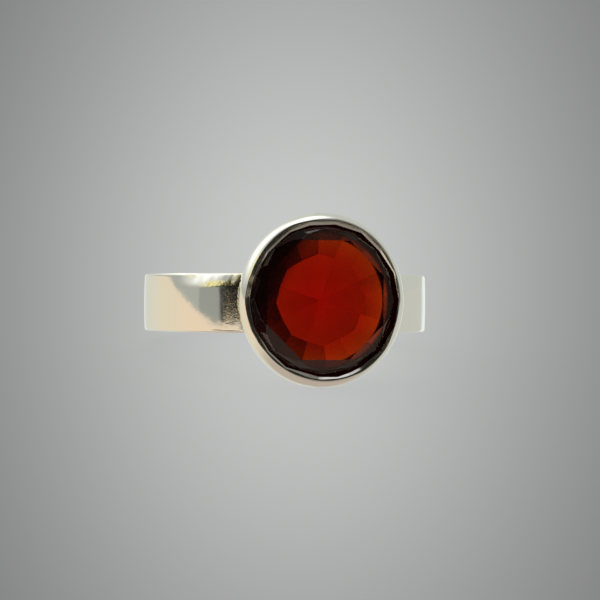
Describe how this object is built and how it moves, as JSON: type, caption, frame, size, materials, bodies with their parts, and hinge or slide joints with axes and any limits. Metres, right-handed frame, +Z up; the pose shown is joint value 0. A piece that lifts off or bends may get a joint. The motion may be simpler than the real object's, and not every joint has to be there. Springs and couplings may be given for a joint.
{
  "type": "adjustable ring",
  "caption": "Flat-band finger ring, open at the back, with a round faceted stone in a plain open-backed bezel; lies on its side.",
  "frame": {"origin": "on the surface that the ring lies on, below the middle of its box", "axes": "+Y runs from the stone at the front (-Y) to the band's gap at the back; +Z is up; the finger's axis leans 9 degrees from +Z towards +Y"},
  "size_m": [0.0204, 0.023, 0.0112],
  "materials": {
    "silver": "polished sterling silver, lightly scratched",
    "garnet": "polished faceted orange-red garnet"
  },
  "bodies": {
    "root": {"band_and_bezel": "silver", "stone": "garnet"}
  },
  "joints": []
}
